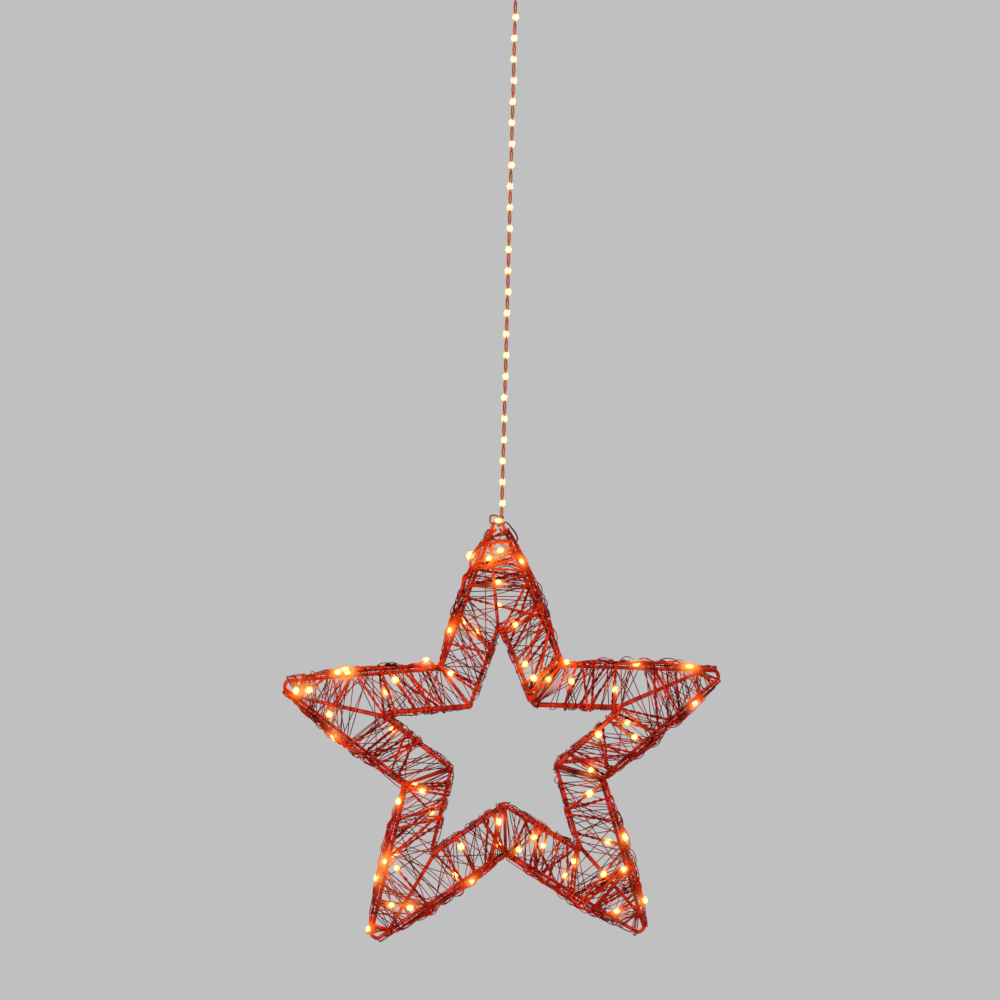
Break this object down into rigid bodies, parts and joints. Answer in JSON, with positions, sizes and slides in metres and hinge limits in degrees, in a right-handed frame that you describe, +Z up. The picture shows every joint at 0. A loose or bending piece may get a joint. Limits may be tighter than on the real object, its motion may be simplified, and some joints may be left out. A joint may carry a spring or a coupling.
{
  "type": "led christmas star",
  "caption": "Five-pointed openwork star of red coated steel rods round a star-shaped hole, wound with wire and a string of small LEDs, hung from a lit cord.",
  "frame": {"origin": "centre of the hanging eye's bore", "axes": "+Z up along the hanging cord, -Y towards the viewer of the star's front, +X to the viewer's right"},
  "size_m": [0.4037, 0.0669, 0.9096],
  "materials": {
    "red_rod": "gloss",
    "red_wire": "gloss",
    "red_cord": "gloss",
    "led": "clear, lit warm white",
    "eye": "polished",
    "ferrule": "satin"
  },
  "bodies": {
    "eye": {"hanging_eye": "eye", "cord_ferrule": "ferrule"},
    "cord": {"hanging_cord": "red_cord", "cord_leds": "led"},
    "tie": {"tip_tie": "red_cord", "tip_led": "led"},
    "star": {"outer_star_rod": "red_rod", "inner_star_rod_front": "red_rod", "inner_star_rod_back": "red_rod", "point_strut_front_1": "red_rod", "point_strut_back_1": "red_rod", "valley_strut_front_1": "red_rod", "valley_strut_back_1": "red_rod", "point_strut_front_2": "red_rod", "point_strut_back_2": "red_rod", "valley_strut_front_2": "red_rod", "valley_strut_back_2": "red_rod", "point_strut_front_3": "red_rod", "point_strut_back_3": "red_rod", "valley_strut_front_3": "red_rod", "valley_strut_back_3": "red_rod", "point_strut_front_4": "red_rod", "point_strut_back_4": "red_rod", "valley_strut_front_4": "red_rod", "valley_strut_back_4": "red_rod", "point_strut_front_5": "red_rod", "point_strut_back_5": "red_rod", "valley_strut_front_5": "red_rod", "valley_strut_back_5": "red_rod", "wrap_wire": "red_wire", "light_string": "red_cord", "star_leds": "led", "tip_loop": "red_cord"}
  },
  "joints": [
    {"name": "cord_swing", "type": "hinge", "parent": "eye", "child": "cord", "pos_m": [0, 0, -0.0245], "axis": [0, 1, 0], "range_deg": [-30, 30]},
    {"name": "star_turn", "type": "hinge", "parent": "cord", "child": "tie", "pos_m": [0, 0, -0.505], "axis": [0, 0, 1], "range_deg": [-180, 180]},
    {"name": "star_nod", "type": "hinge", "parent": "tie", "child": "star", "pos_m": [-0.00329, 0, -0.51282], "axis": [0.9987, 0, 0.0506], "range_deg": [-20, 20]}
  ]
}
